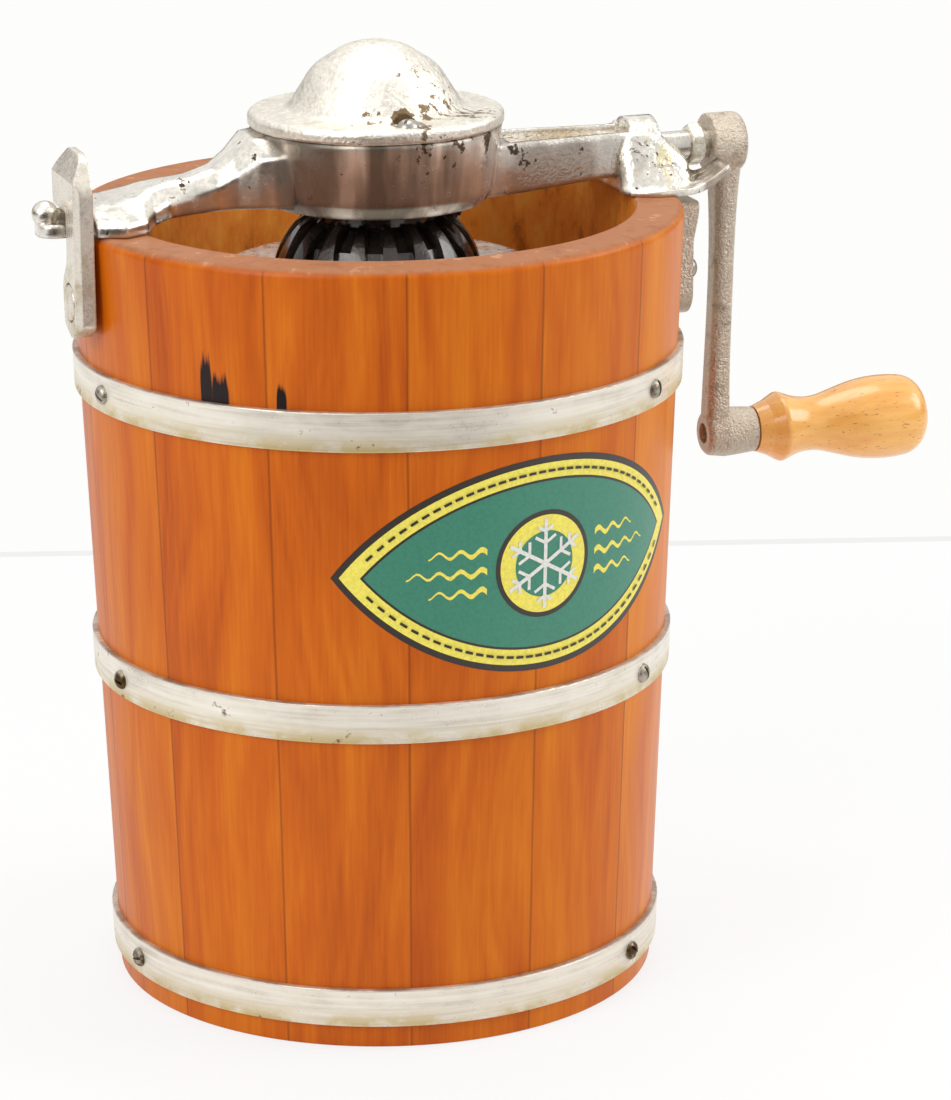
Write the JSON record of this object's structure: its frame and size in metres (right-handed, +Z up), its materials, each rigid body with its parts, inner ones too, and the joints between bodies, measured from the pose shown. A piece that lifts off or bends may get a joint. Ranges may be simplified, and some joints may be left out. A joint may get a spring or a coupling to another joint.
{
  "type": "hand crank ice cream freezer",
  "caption": "Coopered wooden tub with a turning can and counter-turning dasher, driven by bevel gears from a side crank.",
  "frame": {"origin": "centre of the tub's base ring, on the surface it stands on", "axes": "+Z up along the tub's axis, +X towards the crank, front of the tub towards -Y"},
  "size_m": [0.3108, 0.2004, 0.312],
  "materials": {
    "stained_wood": "varnished orange brown pine",
    "hoop_steel": "dull plated strip",
    "screw_steel": "plated round head screws",
    "nickel_plate": "polished nickel plate",
    "satin_nickel": "satin nickel with pits",
    "rough_casting": "sand cast, thinly plated",
    "oiled_iron": "black, oily",
    "bright_steel": "bright turned steel",
    "tinned_steel": "tinned sheet",
    "dasher_iron": "tinned casting",
    "scraper_wood": "bare beech",
    "grip_wood": "varnished beech"
  },
  "bodies": {
    "tub": {"stave_01": "stained_wood", "stave_02": "stained_wood", "stave_03": "stained_wood", "stave_04": "stained_wood", "stave_05": "stained_wood", "stave_06": "stained_wood", "stave_07": "stained_wood", "stave_08": "stained_wood", "stave_09": "stained_wood", "stave_10": "stained_wood", "stave_11": "stained_wood", "stave_12": "stained_wood", "stave_13": "stained_wood", "stave_14": "stained_wood", "tub_bottom": "stained_wood", "hoop_top": "hoop_steel", "hoop_middle": "hoop_steel", "hoop_bottom": "hoop_steel", "hoop_top_screws": "screw_steel", "hoop_middle_screws": "screw_steel", "hoop_bottom_screws": "screw_steel", "step_bearing": "oiled_iron", "step_bearing_screws": "screw_steel", "ear_bracket": "rough_casting", "ear_screws": "screw_steel", "latch_screw": "screw_steel", "gear_frame": "nickel_plate", "gear_cover": "satin_nickel", "cover_screws": "screw_steel"},
    "can": {"can": "tinned_steel", "can_pivot": "bright_steel", "can_lid": "tinned_steel", "can_drive_gear": "oiled_iron"},
    "dasher": {"dasher_frame": "dasher_iron", "dasher_drive_gear": "oiled_iron", "scraper_left": "scraper_wood", "scraper_right": "scraper_wood"},
    "crank": {"crank_shaft": "bright_steel", "crank_nut": "rough_casting", "pinion": "oiled_iron", "pinion_pin": "oiled_iron", "crank_arm": "rough_casting", "handle_spindle": "bright_steel"},
    "grip": {"handle_grip": "grip_wood"},
    "latch": {"latch_lever": "nickel_plate"}
  },
  "joints": [
    {"name": "crank_spin", "type": "hinge", "parent": "tub", "child": "crank", "pos_m": [0.09, 0, 0.27], "axis": [1, 0, 0], "continuous": true},
    {"name": "can_spin", "type": "hinge", "parent": "tub", "child": "can", "pos_m": [0, 0, 0.03], "axis": [0, 0, 1], "continuous": true},
    {"name": "dasher_spin", "type": "hinge", "parent": "tub", "child": "dasher", "pos_m": [0, 0, 0.3], "axis": [0, 0, 1], "continuous": true},
    {"name": "grip_spin", "type": "hinge", "parent": "crank", "child": "grip", "pos_m": [0.16, 0, 0.17], "axis": [1, 0, 0], "continuous": true},
    {"name": "latch_swing", "type": "hinge", "parent": "tub", "child": "latch", "pos_m": [-0.103, -0.01, 0.236], "axis": [1, 0, 0], "range_deg": [0, 100]}
  ],
  "couplings": [
    {"joint": "can_spin", "follows": "crank_spin", "ratio": 0.72222},
    {"joint": "dasher_spin", "follows": "crank_spin", "ratio": -0.72222}
  ]
}
